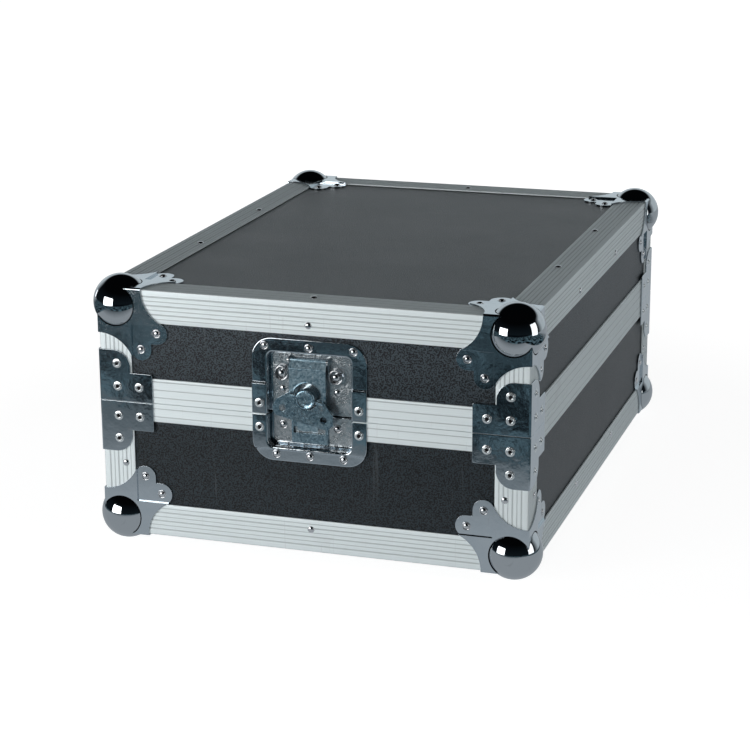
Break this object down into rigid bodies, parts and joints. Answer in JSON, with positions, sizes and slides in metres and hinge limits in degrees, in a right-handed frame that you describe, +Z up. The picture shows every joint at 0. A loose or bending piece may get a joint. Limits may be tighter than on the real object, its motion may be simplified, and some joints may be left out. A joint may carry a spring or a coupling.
{
  "type": "dj mixer flight case",
  "caption": "Flight case with a lift-off lid, aluminium edging, ball corners, recessed butterfly latches and a recessed side handle.",
  "frame": {"origin": "centre of the case's footprint, on the floor under its lower ball corners", "axes": "+X to the right seen from the front latch, +Y from the front to the back, +Z up from the base to the lid"},
  "size_m": [0.414, 0.558, 0.2475],
  "materials": {
    "laminate": "dark grained laminate on plywood",
    "aluminium": "ridged extrusion, satin anodised",
    "chrome_plate": "bright nickel chrome plate",
    "zinc_plate": "blue zinc plate",
    "foam": "closed-cell foam"
  },
  "bodies": {
    "base": {"base_bottom_panel": "laminate", "base_front_panel": "laminate", "base_back_panel": "laminate", "base_left_panel": "laminate", "base_right_panel": "laminate", "base_closing_frame_left": "aluminium", "base_closing_frame_right": "aluminium", "base_bottom_edge_front": "aluminium", "base_bottom_edge_back": "aluminium", "base_bottom_edge_left": "aluminium", "base_bottom_edge_right": "aluminium", "base_upright_edge_back_right": "aluminium", "base_upright_edge_back_left": "aluminium", "base_upright_edge_front_left": "aluminium", "base_upright_edge_front_right": "aluminium", "base_ball_corner_back_right": "chrome_plate", "base_ball_corner_back_left": "chrome_plate", "base_ball_corner_front_left": "chrome_plate", "base_ball_corner_front_right": "chrome_plate", "base_corner_brace_back_right": "chrome_plate", "base_corner_brace_back_left": "chrome_plate", "base_corner_brace_front_left": "chrome_plate", "base_corner_brace_front_right": "chrome_plate", "base_latch_dish_front": "chrome_plate", "base_latch_dish_back": "chrome_plate", "base_foam_pad": "foam", "handle_dish": "chrome_plate"},
    "lid": {"lid_top_panel": "laminate", "lid_front_panel": "laminate", "lid_back_panel": "laminate", "lid_left_panel": "laminate", "lid_right_panel": "laminate", "lid_closing_frame_left": "aluminium", "lid_closing_frame_right": "aluminium", "lid_top_edge_front": "aluminium", "lid_top_edge_back": "aluminium", "lid_top_edge_left": "aluminium", "lid_top_edge_right": "aluminium", "lid_upright_edge_back_right": "aluminium", "lid_upright_edge_back_left": "aluminium", "lid_upright_edge_front_left": "aluminium", "lid_upright_edge_front_right": "aluminium", "lid_ball_corner_back_right": "chrome_plate", "lid_ball_corner_back_left": "chrome_plate", "lid_ball_corner_front_left": "chrome_plate", "lid_ball_corner_front_right": "chrome_plate", "lid_corner_brace_back_right": "chrome_plate", "lid_corner_brace_back_left": "chrome_plate", "lid_corner_brace_front_left": "chrome_plate", "lid_corner_brace_front_right": "chrome_plate", "lid_latch_dish_front": "chrome_plate", "lid_latch_dish_back": "chrome_plate", "lid_foam_pad": "foam"},
    "hook_front": {"latch_hook_front": "zinc_plate"},
    "spindle_front": {"latch_spindle_front": "zinc_plate"},
    "wing_front": {"latch_wing_front": "zinc_plate"},
    "hook_back": {"latch_hook_back": "zinc_plate"},
    "spindle_back": {"latch_spindle_back": "zinc_plate"},
    "wing_back": {"latch_wing_back": "zinc_plate"},
    "bail": {"handle_bail": "zinc_plate"}
  },
  "joints": [
    {"name": "lid_lift", "type": "slide", "parent": "base", "child": "lid", "axis": [0, 0, 1], "range_m": [0, 0.2]},
    {"name": "latch_front_turn", "type": "hinge", "parent": "lid", "child": "spindle_front", "pos_m": [-0.002, -0.2695, 0.1515], "axis": [0, 1, 0], "range_deg": [0, 180]},
    {"name": "latch_front_hook", "type": "hinge", "parent": "lid", "child": "hook_front", "pos_m": [-0.002, -0.2642, 0.184], "axis": [1, 0, 0], "range_deg": [0, 2.4]},
    {"name": "latch_front_fold", "type": "hinge", "parent": "spindle_front", "child": "wing_front", "pos_m": [-0.002, -0.2713, 0.1515], "axis": [-0.9759, 0, 0.2181], "range_deg": [0, 90]},
    {"name": "latch_back_turn", "type": "hinge", "parent": "lid", "child": "spindle_back", "pos_m": [0.002, 0.2695, 0.1515], "axis": [0, -1, 0], "range_deg": [0, 180]},
    {"name": "latch_back_hook", "type": "hinge", "parent": "lid", "child": "hook_back", "pos_m": [0.002, 0.2642, 0.184], "axis": [-1, 0, 0], "range_deg": [0, 2.4]},
    {"name": "latch_back_fold", "type": "hinge", "parent": "spindle_back", "child": "wing_back", "pos_m": [0.002, 0.2713, 0.1515], "axis": [0.9759, 0, 0.2181], "range_deg": [0, 90]},
    {"name": "handle_swing", "type": "hinge", "parent": "base", "child": "bail", "pos_m": [-0.189, 0, 0.0949], "axis": [0, 1, 0], "range_deg": [0, 90]}
  ],
  "couplings": [
    {"joint": "latch_front_hook", "follows": "latch_front_turn", "ratio": 0.013333},
    {"joint": "latch_back_hook", "follows": "latch_back_turn", "ratio": 0.013333}
  ]
}
